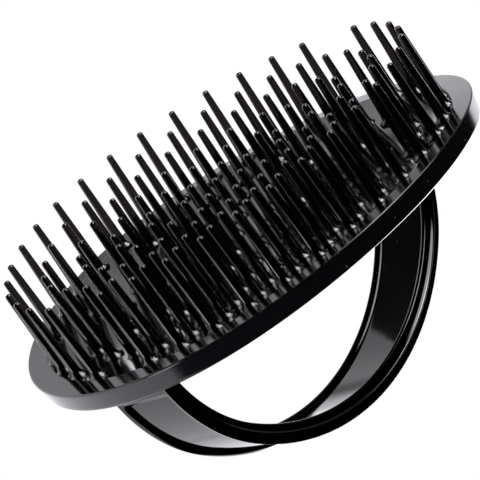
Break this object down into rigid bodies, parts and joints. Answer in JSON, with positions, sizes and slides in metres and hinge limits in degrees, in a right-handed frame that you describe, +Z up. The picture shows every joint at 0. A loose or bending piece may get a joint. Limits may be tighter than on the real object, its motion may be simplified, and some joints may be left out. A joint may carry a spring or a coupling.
{
  "type": "scalp brush with finger loop",
  "caption": "Round scalp brush: a dished plate with concentric rows of blunt pins and an arched finger loop over its back.",
  "frame": {"origin": "The centre of the plate, on the surface that the brush stands on, which the lowest pin tips touch.", "axes": "+X runs along the span of the finger loop, from foot to foot. +Y runs along the width of the loop's band, the way the fingers go through it. +Z points up from the pin tips to the crown of the loop. The pins point down."},
  "size_m": [0.085, 0.085, 0.0486],
  "materials": {
    "plate_plastic": "polished black moulded plastic",
    "loop_plastic": "polished black moulded plastic",
    "pin_plastic": "glossy black moulded plastic"
  },
  "bodies": {
    "brush": {"brush_plate": "plate_plastic", "finger_loop": "loop_plastic", "centre_pin": "pin_plastic", "pin_row_1": "pin_plastic", "pin_row_2": "pin_plastic", "pin_row_3": "pin_plastic", "pin_row_4": "pin_plastic", "pin_row_5": "pin_plastic", "pin_row_6": "pin_plastic"}
  },
  "joints": []
}
